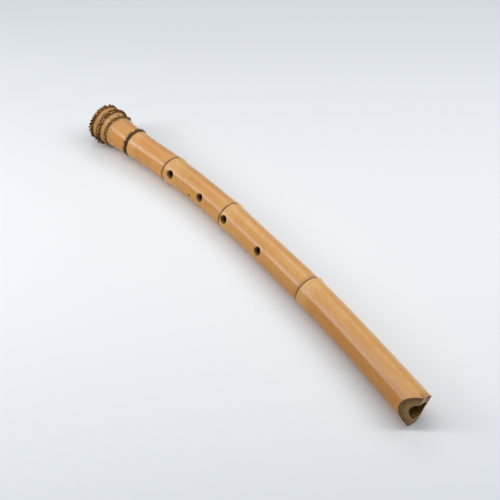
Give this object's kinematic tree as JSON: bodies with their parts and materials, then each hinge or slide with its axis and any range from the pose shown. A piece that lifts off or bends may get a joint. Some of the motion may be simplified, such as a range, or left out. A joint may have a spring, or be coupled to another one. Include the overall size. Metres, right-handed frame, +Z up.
{
  "type": "bamboo flute",
  "caption": "End-blown bamboo flute with a flared root end, bevelled blowing edge, finger holes in a line, a thumb hole behind, and a tenon joint hidden at a node.",
  "frame": {"origin": "centre of the footprint at rest height: middle of the bounding box in X and Y, on the plane the flute lies on", "axes": "+X towards the mouth end, -X towards the root end, +Z up with the flute lying on its side, finger holes facing -Y and slightly up"},
  "size_m": [0.5454, 0.0602, 0.0446],
  "materials": {
    "bamboo": "smoked golden bamboo skin, oiled and glossy",
    "tenon_bamboo": "turned bamboo, lacquered dark",
    "bore_lacquer": "dark red-brown urushi lacquer over filler, gloss",
    "thread": "waxed silk thread, tightly wound"
  },
  "bodies": {
    "lower_section": {"lower_culm": "bamboo", "lower_bore_lining": "bore_lacquer", "socket_sleeve": "bore_lacquer"},
    "binding": {"tenon_thread": "thread"},
    "upper_section": {"upper_culm": "bamboo", "upper_bore_lining": "bore_lacquer", "tenon": "tenon_bamboo"}
  },
  "joints": [
    {"name": "section_pull", "type": "slide", "parent": "lower_section", "child": "binding", "axis": [0.9972, -0.074, 0.0035], "range_m": [0, 0.045]},
    {"name": "section_twist", "type": "hinge", "parent": "binding", "child": "upper_section", "pos_m": [0.09372, 0.0063, 0.01708], "axis": [0.9972, -0.074, 0.0035], "continuous": true}
  ]
}
